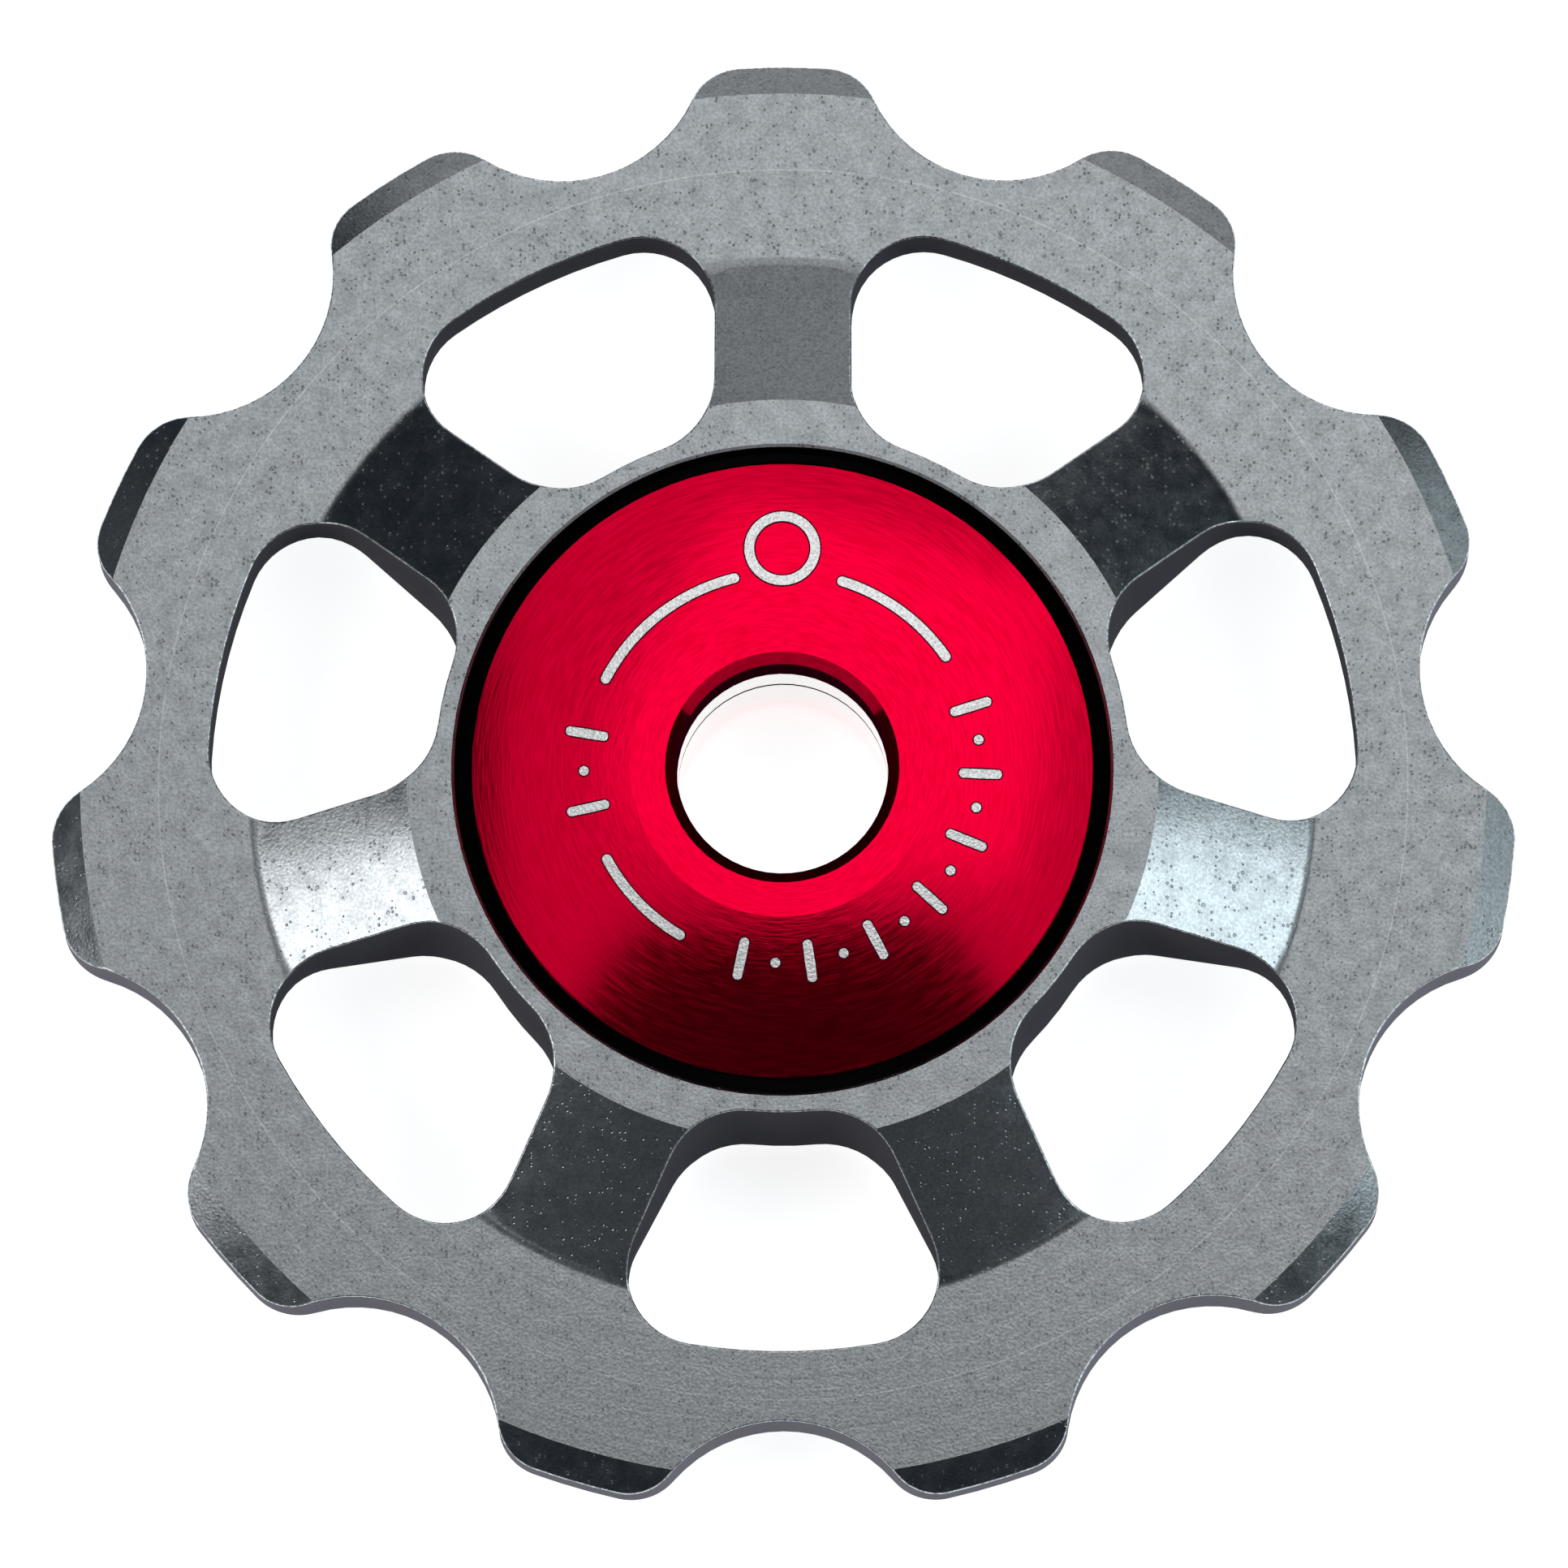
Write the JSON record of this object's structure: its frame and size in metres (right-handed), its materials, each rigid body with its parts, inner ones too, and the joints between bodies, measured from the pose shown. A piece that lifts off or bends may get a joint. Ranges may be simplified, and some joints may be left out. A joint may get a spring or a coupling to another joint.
{
  "type": "derailleur jockey wheel",
  "caption": "Toothed guide pulley for a bicycle chain, with open spokes, a sealed ball bearing in its hub and a red dust cap on each side.",
  "frame": {"origin": "centre of the axle bore, half-way through the wheel", "axes": "+Z along the axle bore towards the front dust cap, +Y through the middle of one tooth and one spoke"},
  "size_m": [0.0422, 0.0419, 0.0068],
  "materials": {
    "wheel_alloy": "bead-blasted and grey anodised, faint turning marks",
    "cap_alloy": "fine turned and bright red anodised",
    "bearing_steel": "ground and polished",
    "ball_ceramic": "polished silicon nitride",
    "cage_nylon": "moulded nylon",
    "seal_rubber": "moulded nitrile rubber"
  },
  "bodies": {
    "axle_side": {"front_dust_cap": "cap_alloy", "rear_dust_cap": "cap_alloy", "bearing_inner_ring": "bearing_steel"},
    "wheel": {"pulley_wheel": "wheel_alloy", "bearing_outer_ring": "bearing_steel", "front_seal": "seal_rubber", "rear_seal": "seal_rubber"},
    "cage": {"ball_cage": "cage_nylon"},
    "ball_1": {"ball_1": "ball_ceramic"},
    "ball_2": {"ball_2": "ball_ceramic"},
    "ball_3": {"ball_3": "ball_ceramic"},
    "ball_4": {"ball_4": "ball_ceramic"},
    "ball_5": {"ball_5": "ball_ceramic"},
    "ball_6": {"ball_6": "ball_ceramic"},
    "ball_7": {"ball_7": "ball_ceramic"},
    "ball_8": {"ball_8": "ball_ceramic"},
    "ball_9": {"ball_9": "ball_ceramic"}
  },
  "joints": [
    {"name": "wheel_spin", "type": "hinge", "parent": "axle_side", "child": "wheel", "pos_m": [0, 0, 0], "axis": [0, 0, 1], "continuous": true},
    {"name": "cage_orbit", "type": "hinge", "parent": "axle_side", "child": "cage", "pos_m": [0, 0, 0], "axis": [0, 0, 1], "continuous": true},
    {"name": "ball_1_roll", "type": "hinge", "parent": "cage", "child": "ball_1", "pos_m": [0, 0.006, 0], "axis": [0, 0, 1], "continuous": true},
    {"name": "ball_2_roll", "type": "hinge", "parent": "cage", "child": "ball_2", "pos_m": [-0.00386, 0.0046, 0], "axis": [0, 0, 1], "continuous": true},
    {"name": "ball_3_roll", "type": "hinge", "parent": "cage", "child": "ball_3", "pos_m": [-0.00591, 0.00104, 0], "axis": [0, 0, 1], "continuous": true},
    {"name": "ball_4_roll", "type": "hinge", "parent": "cage", "child": "ball_4", "pos_m": [-0.0052, -0.003, 0], "axis": [0, 0, 1], "continuous": true},
    {"name": "ball_5_roll", "type": "hinge", "parent": "cage", "child": "ball_5", "pos_m": [-0.00205, -0.00564, 0], "axis": [0, 0, 1], "continuous": true},
    {"name": "ball_6_roll", "type": "hinge", "parent": "cage", "child": "ball_6", "pos_m": [0.00205, -0.00564, 0], "axis": [0, 0, 1], "continuous": true},
    {"name": "ball_7_roll", "type": "hinge", "parent": "cage", "child": "ball_7", "pos_m": [0.0052, -0.003, 0], "axis": [0, 0, 1], "continuous": true},
    {"name": "ball_8_roll", "type": "hinge", "parent": "cage", "child": "ball_8", "pos_m": [0.00591, 0.00104, 0], "axis": [0, 0, 1], "continuous": true},
    {"name": "ball_9_roll", "type": "hinge", "parent": "cage", "child": "ball_9", "pos_m": [0.00386, 0.0046, 0], "axis": [0, 0, 1], "continuous": true}
  ],
  "couplings": [
    {"joint": "cage_orbit", "follows": "wheel_spin", "ratio": 0.59921},
    {"joint": "ball_1_roll", "follows": "wheel_spin", "ratio": 2.4207},
    {"joint": "ball_2_roll", "follows": "wheel_spin", "ratio": 2.4207},
    {"joint": "ball_3_roll", "follows": "wheel_spin", "ratio": 2.4207},
    {"joint": "ball_4_roll", "follows": "wheel_spin", "ratio": 2.4207},
    {"joint": "ball_5_roll", "follows": "wheel_spin", "ratio": 2.4207},
    {"joint": "ball_6_roll", "follows": "wheel_spin", "ratio": 2.4207},
    {"joint": "ball_7_roll", "follows": "wheel_spin", "ratio": 2.4207},
    {"joint": "ball_8_roll", "follows": "wheel_spin", "ratio": 2.4207},
    {"joint": "ball_9_roll", "follows": "wheel_spin", "ratio": 2.4207}
  ]
}
